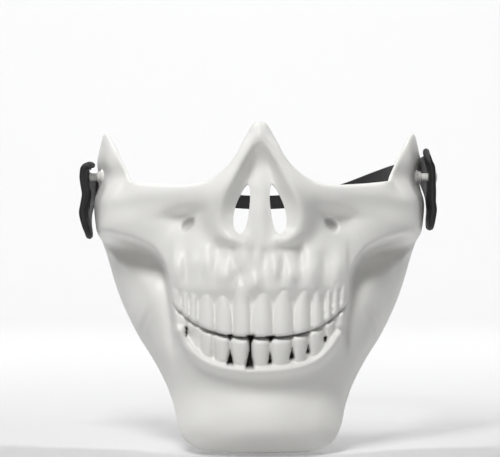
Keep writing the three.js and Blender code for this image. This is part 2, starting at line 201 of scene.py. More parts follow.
def face_form(angle, up):
    """The smooth face without relief, and the direction that it faces in plan."""
    width = through(WIDTH_ROWS, up) * HALF_WIDTH
    rear = through(REAR_ROWS, up) * DEPTH
    face = through(FACE_ROWS, up) * DEPTH
    sharpness = through(SHARPNESS_ROWS, up)
    cosine = np.clip(np.cos(angle), 0, 1)
    x = width * np.sin(angle)
    y = rear - (rear - face) * cosine**sharpness
    run = width * cosine
    fall = (rear - face) * sharpness * cosine ** (sharpness - 1) * np.sin(angle)
    facing = np.arctan2(fall, np.maximum(run, 1e-6))
    return x, y, up * SHELL_HEIGHT, facing


# ---- The skull's relief, in millimetres forwards ------------------------------------------

# Half width of the pear-shaped nasal opening, by height.
PEAR_ROWS = (
    (101, -4), (102.5, 3), (104.5, 11.5), (108, 17), (113, 20.3), (119, 20.8), (126, 18.6),
    (133, 15.2), (141, 10.6), (148, 6.2), (153, 3.2), (157, -1),
)
NOSE_RISE_ROWS = ((90, 0), (98, 1.2), (106, 3.2), (118, 5.8), (130, 7.3), (144, 8.5), (153, 9), (163, 8.5))
NASAL_DEPTH_ROWS = (
    (102, 0), (107, 1), (113, 3.2), (120, 6), (127, 8.6), (134, 9.3), (140, 8.4), (145, 6.4), (149, 3.6),
    (152, 1.4), (155.5, 0),
)
SEPTUM_ROWS = ((100, 0.1), (106, 0.7), (113, 1.5), (120, 2), (127, 1.6), (134, 0.8), (140, 0.2), (145, 0))

NASAL_NARROW_ROWS = ((100, 1), (126, 1), (141, 1.5), (152, 3))


def nose_relief(x, z):
    across = np.abs(x)
    beyond = across - through(PEAR_ROWS, z)
    mound = through(NOSE_RISE_ROWS, z) * np.exp(-((np.maximum(beyond, 0) / 8.5) ** 2))
    margin = 1.0 * np.exp(-(((beyond - 0.6) / 3.4) ** 2)) * ramp(98, 106, z) * ramp(156, 142, z)
    narrow = through(NASAL_NARROW_ROWS, z)
    hollow = ramp(-0.5, -10, beyond * narrow) * through(NASAL_DEPTH_ROWS, z)
    septum = np.exp(-((across / 3.9) ** 3)) * through(SEPTUM_ROWS, z) * ramp(0.5, -3, beyond)
    knob = 2.2 * hill(x, z, 0, 156.5, 5.4, 5)
    lower_rim = 1.9 * (hill(x, z, -13.5, 105.6, 6.5, 3.2, -14) + hill(x, z, 13.5, 105.6, 6.5, 3.2, 14))
    foot = -1.2 * (hill(x, z, -20.5, 100.5, 3.6, 4) + hill(x, z, 20, 99.5, 3.4, 4.5))
    return mound + margin - hollow + septum + knob + lower_rim + foot


# Lower border of the cheekbone and outer border of the tooth-bearing block.
BLOCK_LINE = smooth_line((
    (37, 26), (39.5, 42), (40.8, 52), (41.6, 60), (43, 68), (44.4, 77), (45.8, 87), (48.2, 93.2),
    (52.6, 98.2), (58.9, 101.3), (65, 102.8), (71, 103.2), (78, 102), (88, 99.5),
))
# Upper border of the jaw's rising branch, in front of the hollow.
BRANCH_LINE = smooth_line((
    (90, 106), (79.5, 100), (72.2, 94.2), (66.7, 89.5), (61, 84), (54, 75), (49, 63), (45.5, 50), (42, 36),
    (39.5, 22),
))
# How softly the block falls away, its rise, and how it grows with height.
BLOCK_SOFT_ROWS = ((0, 2.4), (45, 2.6), (52, 4.2), (60, 6.5), (72, 8.5), (90, 9))
BLOCK_RISE_ROWS = (
    (0, 6), (32, 6.1), (42, 7.0), (52, 8.7), (60, 9.5), (66, 8.5), (74, 5.5), (80, 3), (90, 1.5),
)
BLOCK_GROWTH_ROWS = ((20, 0), (30, 0.05), (42, 0.25), (54, 0.75), (64, 1))
# How far the hollow under the cheekbone takes to reach its depth, and that depth.
HOLLOW_REACH_ROWS = ((0, 24), (46, 24), (52, 25), (58, 23), (64, 18), (70, 9), (76, 4), (90, 2.4))
HOLLOW_DEPTH_ROWS = ((0, 4), (46, 9), (54, 15), (62, 17.5), (70, 13.5), (78, 6), (86, 2.5), (90, 1))


def cheek_relief(x, z):
    across = np.abs(x)
    inside = beside(BLOCK_LINE, across, z)
    softness = through(BLOCK_SOFT_ROWS, across) + 3.2 * ramp(64, 46, z)
    height = through(BLOCK_RISE_ROWS, across)
    strength = through(BLOCK_GROWTH_ROWS, z)
    block = ramp(-0.7, 0.7, inside / softness) * height * strength
    behind = beside(BRANCH_LINE, across, z)
    spread = through(HOLLOW_REACH_ROWS, across)
    hollow = ramp(0, 1, -behind / spread) * ramp(0.9, -0.5, inside / softness) * ramp(24, 46, z)
    depth = through(HOLLOW_DEPTH_ROWS, across)
    past = np.maximum(-inside, 0)
    valley = -3.6 * np.exp(-((past / 6.5) ** 2)) * ramp(1, -3, inside) * ramp(44, 58, z) * ramp(100, 90, z)
    cheekbone = 3.8 * hill(across, z, 62, 112, 18, 9, -8) + 2.0 * hill(across, z, 46, 128, 24, 5)
    level = 116.5 - 0.16 * (across - 41)
    below = np.maximum(level - z, 0) / 10 + np.maximum(z - level, 0) / 3.8
    orbit_floor = -6.5 * np.exp(-(below**2) - ((across - 38.5) / 11) ** 2) - 1.8 * hill(across, z, 27, 113, 5, 10)
    turned = ((z - 113.1) * 0.74 - (across - 35.2) * 0.67, (z - 113.1) * 0.67 + (across - 35.2) * 0.74)
    hole = ramp(1.2, 0.85, np.hypot(turned[0] / 3.9, turned[1] / 2.3))
    return block + valley - hollow * depth + cheekbone + orbit_floor - 3.0 * hole, hole


def jaw_relief(x, z):
    across = np.abs(x)
    chin = 1.7 * hill(x, z, 0, 14, 32, 12) + 1.2 * hill(across, z, 29, 14, 8, 9)
    under_lip = -1.2 * hill(x, z, 0, 31, 32, 6)
    branch = 2.2 * hill(across, z, 56, 74, 7, 17, 26)
    groove = -1.3 * hill(across, z, 43.6, 60, 3.2, 17, 4)
    streaks = hill(across, z, 56.0, 63, 1.0, 8, 26) + hill(across, z, 60.5, 64, 0.9, 9, 26)
    streaks = streaks - hill(across, z, 58.2, 62, 1.1, 9, 26)
    return chin + under_lip + branch + groove + 0.5 * streaks


# Swellings over the roots and the pits between them: (across, up, wide, tall, rise).
ROOT_MARKS = (
    (-40.5, 91, 3.8, 8, 3.0), (-31.8, 95, 3.2, 6, 1.6), (-25.6, 94, 3.4, 7, 1.9), (-16.8, 88.6, 4.2, 4.8, 2.6),
    (-7.6, 98, 3.6, 5.5, 1.7), (-2.2, 85.2, 3.0, 3.8, 2.2), (7.2, 91, 3.0, 5.0, 2.6), (15.0, 88.2, 3.4, 5.2, 2.8),
    (25.3, 89.5, 4.4, 7.5, 2.8), (38.3, 91, 3.8, 8, 2.6), (-20.0, 100.4, 3.4, 4, -1.5), (-9.8, 88.6, 2.6, 3.0, -2.2),
    (-2.4, 102.5, 2.6, 4, -1.4), (2.4, 97, 2.8, 5, -1.9), (19.8, 98, 1.9, 6, -1.5), (11.2, 93, 1.7, 5, -1.0),
    (30.8, 92, 1.9, 6, -1.0), (-12.8, 95, 1.9, 5, -0.9), (-21.4, 92, 1.8, 5, -0.8), (-28.8, 91, 1.7, 5, -0.8),
    (-35.8, 92, 1.8, 7, -1.2), (-28.5, 103, 4, 3, 0.7), (28, 101, 4.5, 3.5, 0.8), (9.5, 102, 3, 3, -0.9),
)

# Upper teeth: (near edge, far edge at the bite, tip of the gum across, tip up).
UPPER_TEETH = (
    (-43.2, -38.4, -41.8, 82.8), (-38.4, -34.6, -36.9, 81.4), (-34.6, -30.4, -32.6, 80.2),
    (-30.4, -21.9, -26.2, 79.4), (-21.9, -13.2, -18.2, 78.4), (-13.2, -4.4, -9.1, 86.6),
    (-4.4, 6.2, 1.4, 80.6), (6.2, 16.4, 11.8, 82.2), (16.4, 24.9, 21.6, 82.0),
    (24.9, 31.6, 28.2, 82.2), (31.6, 35.3, 33.8, 82.6), (35.3, 39.0, 37.4, 84.6), (39.0, 42.8, 41.2, 85.2),
)
# Lower teeth: (left edge, right edge, rise).
LOWER_TEETH = (
    (-42.0, -36.4, 0.2), (-35.4, -29.2, 1.3), (-29.2, -22.6, 2.2), (-22.6, -14.8, 3.0), (-14.2, -5.4, 3.2),
    (-4.0, 4.6, 3.2), (5.1, 15.3, 3.2), (15.8, 23.2, 3.0), (23.6, 31.4, 2.8), (31.8, 36.6, 2.4), (37.0, 41.6, 1.6),
)
# Deep gaps in the lower row: (across, up, half width, half height, wider at: -1 foot, 1 head).
GAPS = (
    (-14.4, 48.4, 1.5, 3.2, -1), (-4.7, 52.0, 0.5, 6.0, 0), (-4.9, 48.2, 1.9, 4.6, -1), (-4.5, 57.0, 2.0, 2.4, 1),
    (4.9, 48.2, 0.9, 2.6, -1), (15.5, 50.4, 1.2, 2.6, -1), (23.4, 52.4, 0.9, 1.9, -1), (32.0, 57.0, 0.6, 1.2, 0),
    (-35.9, 60.4, 0.45, 2.2, 0), (5.2, 57.6, 2.2, 1.3, 1), (-14.4, 58.6, 1.2, 1.0, 1),
)


def bite_height(x):
    return 58.4 + 2.0e-4 * np.abs(x) ** 3


def rim_height(x):
    return 41.8 + 0.004 * x**2 + 3.4e-9 * x**6


RIM_LINE = [(x, float(rim_height(np.float64(x)))) for x in np.linspace(-39.4, 38.2, 60)]


def crown(x, near, far, power):
    """A rounded tooth between two edges."""
    middle, half = (near + far) / 2, np.maximum((far - near) / 2, 0.2)
    share = np.minimum(np.abs(x - middle) / half, 1)
    return np.sqrt(1 - share**power)


def teeth_relief(x, z):
    bite = bite_height(x)
    arch = ramp(43.8, 42.2, np.abs(x))
    above = ramp(bite - 0.35, bite + 0.35, z)
    upper = np.zeros(x.shape)
    for near, far, tip, top in UPPER_TEETH:
        foot = float(bite_height(np.float64((near + far) / 2)))
        share = np.clip((z - foot) / (top - foot), 0, 1)
        narrow = np.sqrt(1 - share**2.3)
        left = near + (tip - near) * (1 - narrow) + (tip - (near + far) / 2) * 0.5 * share
        right = far + (tip - far) * (1 - narrow) + (tip - (near + far) / 2) * 0.5 * share
        upper = np.maximum(upper, crown(x, left, right, 2.1) * narrow**0.75 * (4.2 - 0.8 * share))
    gum = 1.9 * ramp(74, 83, z) * ramp(112, 86, z)
    upper_side = above * np.maximum(upper, gum * ramp(1.7, 0.5, upper))

    lower = np.zeros(x.shape)
    for near, far, rise in LOWER_TEETH:
        middle = (near + far) / 2
        head = float(bite_height(np.float64(middle))) - 0.7
        foot = float(rim_height(np.float64(middle))) + 1.6
        share = (head - z) / (head - foot)
        waist = 0.09 * (far - near) * ramp(0.2, 1.0, share)
        ends = np.sqrt(np.clip(1 - (np.clip(0.2 - share, 0, 0.2) / 0.2) ** 2, 0, 1))
        ends = ends * np.sqrt(np.clip(1 - (np.clip(share - 0.84, 0, 0.2) / 0.2) ** 2, 0, 1))
        lower = np.maximum(lower, crown(x, near + waist, far - waist, 2.3) * ends * (rise + 0.5))
    over_rim = ramp(rim_height(x) - 0.6, rim_height(x) + 0.8, z)
    crease = np.exp(-(((z - bite + 0.2) / 0.75) ** 2))
    gaps = np.zeros(x.shape)
    for across, up, half, tall, wider in GAPS:
        tilt = np.clip((z - up) / tall, -1, 1) * wider
        width = half * (0.5 + 0.5 * tilt) if wider else half
        inside = np.maximum(np.abs(x - across) / np.maximum(width, 0.25), np.abs(z - up) / tall)
        gaps = np.maximum(gaps, ramp(1.3, 0.8, inside))
    base = -1.4 * over_rim * ramp(41, 38.5, np.abs(x))
    rim = base + (4.8 - base) * np.exp(-((np.abs(beside(RIM_LINE, x, z)) / 2.7) ** 3))
    lower_side = (1 - above) * np.maximum(over_rim * lower + base, rim)
    corner = -2.4 * hill(x, z, -35.5, 56.5, 4.5, 5.5, -40) - 1.2 * hill(x, z, 35, 59.5, 2.2, 3)
    roots = sum(rise * hill(x, z, cx, cz, wide, tall) for cx, cz, wide, tall, rise in ROOT_MARKS)
    upper_side = upper_side - 1.7 * above * ramp(84, 74, z)
    roots = 1.15 * roots
    bitten = arch * (upper_side - 2.8 * crease - 3.8 * gaps + corner * (1 - above))
    relief = bitten + lower_side + roots * ramp(47, 42, np.abs(x))
    # Painted shade: the deep gaps between the lower teeth and the bite crease between the rows are marked to be
    # coloured near black, standing in for the shade inside them.
    shade_paint = np.maximum(gaps, 0.75 * crease**2 * ramp(34, 20, np.abs(x)) * (x < 24) + 0.25 * crease**2) * arch
    return relief, shade_paint


def skull_relief(x, z):
    teeth, shade_paint = teeth_relief(x, z)
    back = -3.0 * ramp(74, 46, np.abs(x))
    cheeks, holes = cheek_relief(x, z)
    # Painted shade: the small holes from the cheek relief are greyed a little too, for the shade inside them.
    return nose_relief(x, z) + cheeks + jaw_relief(x, z) + teeth + back, np.maximum(shade_paint, 0.3 * holes)


def horn_fold(x, z):
    """The temple points are folded along a ridge and fall back outside it."""
    across = np.abs(x)
    return (1.2 - 0.75 * np.minimum(np.abs(across - 78.4), 6)) * ramp(130, 144, z)


# ---- Mesh helpers ------------------------------------------------------------------------


def new_object(name, bm, material):
    mesh = bpy.data.meshes.new(name)
    bm.to_mesh(mesh)
    bm.free()
    piece = bpy.data.objects.new(name, mesh)
    bpy.context.scene.collection.objects.link(piece)
    mesh.materials.append(material)
    mesh.polygons.foreach_set("use_smooth", [True] * len(mesh.polygons))
    return piece


def apply_modifiers(piece):
    bpy.context.view_layer.update()
    evaluated = piece.evaluated_get(bpy.context.evaluated_depsgraph_get())
    mesh = bpy.data.meshes.new_from_object(evaluated)
    piece.modifiers.clear()
    old, piece.data = piece.data, mesh
    bpy.data.meshes.remove(old)


def spaced(*stretches):
    """Places from stretches of (start, end, count), each end shared with the next start."""
    parts = [np.linspace(a, b, n, endpoint=False) for a, b, n in stretches]
    return np.concatenate(parts + [[stretches[-1][1]]])


# ---- Shell mesh -----------------------------------------------------------------------------

HALF_COLUMNS = spaced((0, 0.5, 84), (0.5, 0.7, 18), (0.7, 0.86, 18), (0.86, 1, 12))
LEVEL = 88.0  # below this height the rows run level, above it they rise to the top edge
LOW_ROWS = spaced((0, 36, 16), (36, 84, 84), (84, LEVEL, 4)) / LEVEL
HIGH_ROWS = np.linspace(0, 1, 42)


def shell_grid():
    """Places of the outer face, as arrays over (column, row)."""
    side = np.concatenate([-HALF_COLUMNS[:0:-1], HALF_COLUMNS])
    place = np.abs(side)[:, None]
    top_angle, top_up = edge_at(TOP_EDGE, place)
    low_angle, low_up = edge_at(BOTTOM_EDGE, place)
    top, low = top_up * SHELL_HEIGHT, low_up * SHELL_HEIGHT
    lower = low + (LEVEL - low) * LOW_ROWS[None, :]
    upper = LEVEL + (top - LEVEL) * HIGH_ROWS[None, 1:]
    z = np.concatenate([lower, upper], axis=1)
    share = (z - low) / (top - low)
    angle = low_angle + (top_angle - low_angle) * share
    x, y, z, facing = face_form(angle, z / SHELL_HEIGHT)
    sign = np.where(side < 0, -1.0, 1.0)[:, None]
    return x * sign, y, z, facing * sign, angle


def shell_surface(settings):
    x, y, z, facing, angle = shell_grid()
    relief, shade_paint = skull_relief(x, z)
    horn = ramp(124, 138, z) * ramp(58, 68, np.abs(x))
    relief = relief * settings.relief * ramp(1.52, 1.25, angle) * (1 - horn)
    lean = facing * ramp(46, 74, np.abs(x))
    forwards = np.cos(lean) * relief + horn_fold(x, z) * ramp(1.55, 1.35, angle)
    outer = np.stack([x + np.sin(lean) * relief, y - forwards, z], axis=-1)
    return blurred(outer, settings.smoothing), shade_paint


def blurred(grid, passes):
    out = grid.copy()
    for _ in range(passes):
        padded = np.pad(out, ((1, 1), (1, 1), (0, 0)), mode="edge")
        out = (padded[:-2, 1:-1] + padded[2:, 1:-1] + padded[1:-1, :-2] + padded[1:-1, 2:] + 4 * out) / 8
    return out


def facings(grid):
    along = np.gradient(grid, axis=0)
    up = np.gradient(grid, axis=1)
    normal = np.cross(along, up)
    return normal / np.maximum(np.linalg.norm(normal, axis=-1, keepdims=True), 1e-9)


def edge_count(grid):
    """How many steps each point of a grid lies from the grid's border."""
    steps = [np.minimum(np.arange(n), n - 1 - np.arange(n)) for n in grid.shape[:2]]
    return np.minimum(steps[0][:, None], steps[1][None, :])


def two_faced(outer, inner, **marks):
    """A closed sheet from two equal grids of points, bridged along their borders.

    Each mark is a pair of grids, outer and inner, kept on the points under its name.
    """
    columns, rows = outer.shape[:2]
    bm = bmesh.new()
    layers = {name: bm.verts.layers.float.new(name) for name in marks}
    for face, points in enumerate((outer, inner)):
        made = bmesh.ops.create_grid(bm, x_segments=columns - 1, y_segments=rows - 1, size=1)
        flat = (points.transpose(1, 0, 2).reshape(-1, 3) + SHIFT) * MM
        for vert, place in zip(made["verts"], flat):
            vert.co = place
        for name, layer in layers.items():
            for vert, value in zip(made["verts"], marks[name][face].T.reshape(-1)):
                vert[layer] = value
    bmesh.ops.bridge_loops(bm, edges=[e for e in bm.edges if e.is_boundary])
    bmesh.ops.recalc_face_normals(bm, faces=bm.faces)
    return bm


SOFT_PASSES = 60  # blur that turns the outer face into the plain inner one
SUNK_PASSES = 12
RIM_STEPS = 14  # grid steps over which the inner face leaves the outer one's shape


def shell_mesh(settings):
    outer, shade_paint = shell_surface(settings)
    soft = blurred(outer, SOFT_PASSES)
    edge = edge_count(outer)
    weight = np.clip(edge / RIM_STEPS, 0, 1)[..., None]
    base = outer * (1 - weight) + soft * weight
    normal = facings(soft)
    # Where the outer face is cut deeper than the soft one, the inner face gives way.
    sunk = np.maximum(np.sum((soft - outer) * normal, axis=-1, keepdims=True), 0)
    inner = base - normal * (settings.wall / MM + (0.9 + 1.6 * blurred(sunk, SUNK_PASSES)) * weight)
    # The rim is rounded: the border of each face leans towards the other face.
    rounding = np.select([edge == 0, edge == 1], [0.75, 0.18], 0.0)[..., None]
    # The outer face carries the painted shade mark; the inner face has none.
    return two_faced(outer - normal * rounding, inner + normal * rounding, gap=(shade_paint, np.zeros(shade_paint.shape)))


# Outline of the nostril on the wearer's right: (across, up).
NOSTRIL = (
    (-5.7, 132.4), (-4.9, 130.0), (-4.8, 125.0), (-5.5, 118.0), (-6.8, 111.8), (-8.1, 109.2), (-9.8, 108.4),
    (-11.9, 109.8), (-13.0, 113.6), (-12.6, 118.6), (-11.3, 123.2), (-9.4, 127.4), (-7.3, 131.0),
)
NOSTRIL_CUT_FRONT = -20
NOSTRIL_CUT_DEPTH = 70


def as_cutter(name, bm):
    """A helper solid for a boolean cut, removed once it has been used."""
    mesh = bpy.data.meshes.new(name)
    bm.to_mesh(mesh)
    bm.free()
    cutter = bpy.data.objects.new(name, mesh)
    bpy.context.scene.collection.objects.link(cutter)
    return cutter


def cut_away(piece, cutters):
    for cutter in cutters:
        cut = piece.modifiers.new("cut", "BOOLEAN")
        cut.operation = "DIFFERENCE"
        cut.solver = "EXACT"
        cut.object = cutter
    apply_modifiers(piece)
    for cutter in cutters:
        bpy.data.objects.remove(cutter)


def nostril_cutter(side):
    bm = bmesh.new()
    ring = []
    outline = smooth_line(NOSTRIL + NOSTRIL[:1], 4)[:-1]
    for x, z in outline:
        place = np.array((side * x, NOSTRIL_CUT_FRONT, z))
        ring.append(bm.verts.new((place + SHIFT) * MM))
    face = bm.faces.new(ring)
    made = bmesh.ops.extrude_face_region(bm, geom=[face])
    moved = [v for v in made["geom"] if isinstance(v, bmesh.types.BMVert)]
    bmesh.ops.translate(bm, verts=moved, vec=(0, NOSTRIL_CUT_DEPTH * MM, 0))
    bmesh.ops.recalc_face_normals(bm, faces=bm.faces)
    return as_cutter("nostril_cutter", bm)


def side_wall():
    """Outer wall of the smooth form at the stud, as a distance from the middle."""
    up = np.float64(STUD_RISE / SHELL_HEIGHT)
    rear, face = through(REAR_ROWS, up) * DEPTH, through(FACE_ROWS, up) * DEPTH
    angle = math.acos(((rear - STUD_BACK) / (rear - face)) ** (1 / through(SHARPNESS_ROWS, up)))
    return float(through(WIDTH_ROWS, up)) * HALF_WIDTH * math.sin(angle)


BORE_RADIUS = 2.15
BOSS_STAND_OFF = 2.4


def boss_mesh(side):
    """The boss moulded on the shell's side, with a bore for the stud and a rib below."""
    wall = side_wall()
    washer_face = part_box("left_stud_washer")[1][0] / MM
    face = wall + BOSS_STAND_OFF
    bm = bmesh.new()
    profile = (
        (BORE_RADIUS, washer_face + 0.3), (4.4, washer_face + 0.3), (4.6, wall - 1.6), (4.4, wall - 0.2),
        (3.5, wall + 0.6), (3.0, wall + 1.3), (2.85, face - 0.3), (2.6, face), (BORE_RADIUS, face),
    )
    turn_profile(bm, profile, side)
    rib = bmesh.ops.create_cube(bm, size=1)["verts"]
    for vert in rib:
        out = vert.co.x > 0
        low = vert.co.z < 0
        across = (face - (2.2 if low else 0.5)) if out else wall - 1.5
        vert.co = (side * across * MM, vert.co.y * 1.3 * MM, (-7.2 if low else -2.5) * MM)
    bmesh.ops.recalc_face_normals(bm, faces=bm.faces)
    return bm


def turn_profile(bm, profile, side, steps=40):
    """Turns (radius, across) points about the studs' axis."""
    verts = [bm.verts.new((side * across * MM, radius * MM, 0)) for radius, across in profile]
    edges = [bm.edges.new(pair) for pair in zip(verts[:-1], verts[1:])]
    if profile[0][0] > 0:
        edges.append(bm.edges.new((verts[-1], verts[0])))
    bmesh.ops.spin(
        bm, geom=verts + edges, cent=(0, 0, 0), axis=(1, 0, 0), dvec=(0, 0, 0), angle=2 * math.pi,
        steps=steps, use_merge=True, use_duplicate=False,
    )
    bmesh.ops.remove_doubles(bm, verts=bm.verts, dist=1e-6)
    bmesh.ops.recalc_face_normals(bm, faces=bm.faces)


# ---- The strap's form ---------------------------------------------------------------------

STRAP_REACH = 127.0
TAB_MIDDLE = float(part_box("left_strap_tab")[1][0] / MM) - 1.5
TAB_LENGTH = 66.0
TAB_AHEAD = 13.0
SEWN_OVERLAP = 15.0
# Height of the band's middle over the studs, by share of the way to the back of the head.
BAND_RISE_ROWS = {
    1: ((0, 5), (0.45, 5), (0.55, 2.2), (0.75, -7.2), (0.9, -10.8), (1, -11.5), (1.1, -10.8)),
    -1: ((0, -4), (0.45, -5), (0.9, -10.6), (1, -11.5), (1.1, -10.6)),
}


def strap_run():
    """The strap seen from above: distance along it, across and depth."""
    bend = (
        (-TAB_AHEAD / STRAP_REACH, 1), (0, 1), (0.2, 1), (0.31, 0.985), (0.42, 0.945),
        (0.65, 0.8), (0.85, 0.56), (0.965, 0.28), (1, 0),
    )
    half = [(TAB_MIDDLE * across, STUD_BACK + STRAP_REACH * behind) for behind, across in bend]
    whole = np.array(half + [(-x, y) for x, y in half[-2::-1]])
    chord = np.concatenate([[0], np.cumsum(np.sqrt(np.linalg.norm(np.diff(whole, axis=0), axis=1)))])
    fine = np.linspace(0, chord[-1], 2000)
    x, y = (through(list(zip(chord, axis)), fine) for axis in whole.T)
    run = np.concatenate([[0], np.cumsum(np.hypot(np.diff(x), np.diff(y)))])
    return run, x, y


RUN, RUN_X, RUN_Y = strap_run()
STRAP_LENGTH = RUN[-1]


def strap_at(distance):
    """Place, outward direction and the band's middle height along the strap."""
    x, y = np.interp(distance, RUN, RUN_X), np.interp(distance, RUN, RUN_Y)
    ax = np.interp(distance, RUN, np.gradient(RUN_X, RUN))
    ay = np.interp(distance, RUN, np.gradient(RUN_Y, RUN))
    share = distance / STRAP_LENGTH
    from_stud = 1 - np.abs(1 - 2 * share)
    rise = np.where(share < 0.5, through(BAND_RISE_ROWS[1], from_stud), through(BAND_RISE_ROWS[-1], from_stud))
    return x, y, ay, -ax, STUD_RISE + rise


# Each tab at its stud: its reach below and above the stud, and the cut of its top corner.
TAB_FRONT = {1: (28, 15, 8), -1: (32.5, 4.2, 2)}
LOW_CORNER_CUT = 10
TAIL_HALF = 6.5
CURL_LENGTH = 6.2
CURL_RADIUS = 2.3
# How a tab waves outwards over its height at the stud: (height, outwards).
TAB_WAVE_ROWS = {
    1: (
        (109, -1.0), (112, -0.5), (117, 0.1), (121, 0.5), (125, 0), (130, 0.1), (135, 0.1), (140, 0.2),
        (143, 0), (146, -1.2), (150, -2.2), (154, -2.4),
    ),
    -1: (
        (104, -1.7), (109, -0.6), (113, 0.7), (119, 1.9), (124, 1.1), (129, 0.4), (134, 1.3), (138, 1.9),
        (142, 1.7),
    ),
}


def flare(along):
    """How far the strap stands outwards behind the stud before it turns round the head."""
    return 1.5 * ramp(8, 46, along) * ramp(150, 60, along)


def tab_points(side, full):
    """Middle sheet of a tab over (distance along, height), and its thickness."""
    along = np.linspace(0, TAB_LENGTH, 96)[:, None]
    distance = along if side > 0 else STRAP_LENGTH - along
    x, y, ox, oy, middle = strap_at(distance)
    narrowing = ramp(0.28, 0.95, along / TAB_LENGTH)
    corner = np.sqrt(1 - np.clip(1 - along / 10, 0, 1) ** 2)
    below, above, cut = TAB_FRONT[side]
    low_front = STUD_RISE - below + LOW_CORNER_CUT * (1 - corner)
    top_front = STUD_RISE + above - cut * (1 - corner)
    tail = 3.2 * (1 - np.sqrt(1 - np.clip((along - TAB_LENGTH + 4) / 4, 0, 1) ** 2))
    low = low_front + (middle - TAIL_HALF - low_front) * narrowing + tail
    top = top_front + (middle + TAIL_HALF - top_front) * narrowing - tail
    curl = np.zeros(along.shape) if side > 0 else CURL_LENGTH * ramp(36, 20, along)
    share = np.linspace(0, 1, 64)[None, :]
    flat = low + (top + curl - low) * share
    turn = np.maximum(flat - top, 0) / CURL_RADIUS
    z = np.where(turn > 0, top + CURL_RADIUS * np.sin(turn), flat)
    near_stud = np.hypot(along - TAB_AHEAD, z - STUD_RISE)
    off_stud = 1 - np.exp(-((near_stud / 5.5) ** 2))
    wave = through(TAB_WAVE_ROWS[side], np.minimum(z, top)) * ramp(46, 20, along) * off_stud
    wave = wave + 0.35 * np.sin(along / 6.5 + z / 9) * ramp(4, 10, near_stud) * ramp(60, 48, along)
    wave = wave - CURL_RADIUS * (1 - np.cos(turn)) + flare(along)
    sheet = np.stack([x + ox * wave, y + oy * wave, z + 0 * along], axis=-1)
    edge = np.minimum(np.minimum(along, TAB_LENGTH - along), np.minimum(flat - low, top + curl - flat))
    thick = 0.5 + (full - 0.5) * np.sqrt(1 - np.clip(1 - edge / 1.7, 0, 1) ** 2)
    thick = thick - 0.55 * np.exp(-(((edge - 3.4) / 0.5) ** 2)) * ramp(50, 45, along)
    thick = thick * (1 - 0.3 * np.exp(-((near_stud / 3.6) ** 2)))
    return sheet, thick[..., None], side * facings(sheet)


def tab_mesh(side, settings):
    sheet, thick, normal = tab_points(side, settings.tab_thickness / MM)
    return two_faced(sheet + normal * thick / 2, sheet - normal * thick / 2)


BUTTON_HOLE_RADIUS = 2.35


def hole_cutter(side):
    bm = bmesh.new()
    radius = BUTTON_HOLE_RADIUS * MM
    bmesh.ops.create_cone(
        bm, cap_ends=True, segments=40, radius1=radius, radius2=radius, depth=14 * MM,
        matrix=Matrix.Translation((side * TAB_MIDDLE * MM, 0, 0)) @ Matrix.Rotation(math.pi / 2, 4, "Y"),
    )
    return as_cutter("button_hole_cutter", bm)


BAND_HALF = 4.0
BAND_THICKNESS = 1.15


def band_mesh():
    start = TAB_LENGTH - SEWN_OVERLAP
    distance = np.linspace(start, STRAP_LENGTH - start, 420)[:, None]
    share = np.linspace(-1, 1, 25)[None, :]
    x, y, ox, oy, middle = strap_at(distance)
    z = middle + BAND_HALF * share + 0.12 * np.sin(distance / 17)
    from_end = np.minimum(distance, STRAP_LENGTH - distance)
    free = ramp(start + 16, start + 30, from_end)
    sway = -2.4 + flare(from_end) + free * (0.5 * np.sin(distance / 14 + share) - 0.3 * share)
    selvedge = np.clip((np.abs(share) - 0.86) / 0.14, 0, 1) ** 2
    ribs = 0.5 + 0.5 * np.cos(share * math.pi * 7)
    thick = BAND_THICKNESS - 0.35 * selvedge - 0.16 * ribs
    faces = []
    for sign in (1, -1):
        offset = sway + sign * thick / 2
        faces.append(np.stack([x + ox * offset, y + oy * offset, z], axis=-1))
    run, over = distance + 0 * share, BAND_HALF * share + 0 * distance
    return two_faced(*faces, along=(run, run), across=(over, over))


STITCH_PITCH = 2.3
STITCH_RADIUS = 0.3


def stitch_mesh(side):
    """Thread stitches in a crossed box where the band is sewn to the tab."""
    low, high, half = TAB_LENGTH - 12.5, TAB_LENGTH - 2.5, 2.8
    corners = ((low, -half), (high, -half), (high, half), (low, half))
    rows = [(corners[i], corners[(i + 1) % 4]) for i in range(4)] + [corners[0::2], corners[1::2]]
    bm = bmesh.new()
    for (d0, z0), (d1, z1) in rows:
        length = math.hypot(d1 - d0, z1 - z0)
        count = max(2, round(length / STITCH_PITCH))
        for i in range(count):
            share = (i + 0.5) / count
            d, rise = d0 + (d1 - d0) * share, z0 + (z1 - z0) * share
            distance = d if side > 0 else STRAP_LENGTH - d
            x, y, ox, oy, middle = (float(value) for value in strap_at(np.float64(distance)))
            for offset in (1.62 + float(flare(d)), -3.0 + float(flare(d))):
                place = Vector((x + ox * offset, y + oy * offset, middle + rise)) + Vector(SHIFT)
                out = Vector((ox, oy, 0)).normalized()
                along = Vector((-oy, ox, 0)) * (1 if side > 0 else -1)
                run = (along * (d1 - d0) + Vector((0, 0, 1)) * (z1 - z0)).normalized()
                basis = Matrix((run, out, run.cross(out))).transposed().to_4x4()
                size = Matrix.Diagonal((0.46 * length / count, STITCH_RADIUS, STITCH_RADIUS, 1))
                made = bmesh.ops.create_uvsphere(bm, u_segments=8, v_segments=8, radius=1)
                matrix = Matrix.Scale(MM, 4) @ Matrix.Translation(place) @ basis @ size
                bmesh.ops.transform(bm, verts=made["verts"], matrix=matrix)
    return bm


def stud_mesh(side):
    low, high = (corner[0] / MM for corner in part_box("left_stud"))
    face = high - 2.0
    bm = bmesh.new()
    profile = (
        (0, low), (1.3, low), (1.85, low + 0.4), (2.0, low + 1), (2.0, face), (3.0, face), (3.3, face + 0.2),
        (3.4, face + 0.55), (3.3, face + 1.0), (2.95, face + 1.4), (2.3, face + 1.72), (1.3, face + 1.93),
        (0, face + 2.0),
    )
    turn_profile(bm, profile, side)
    return bm


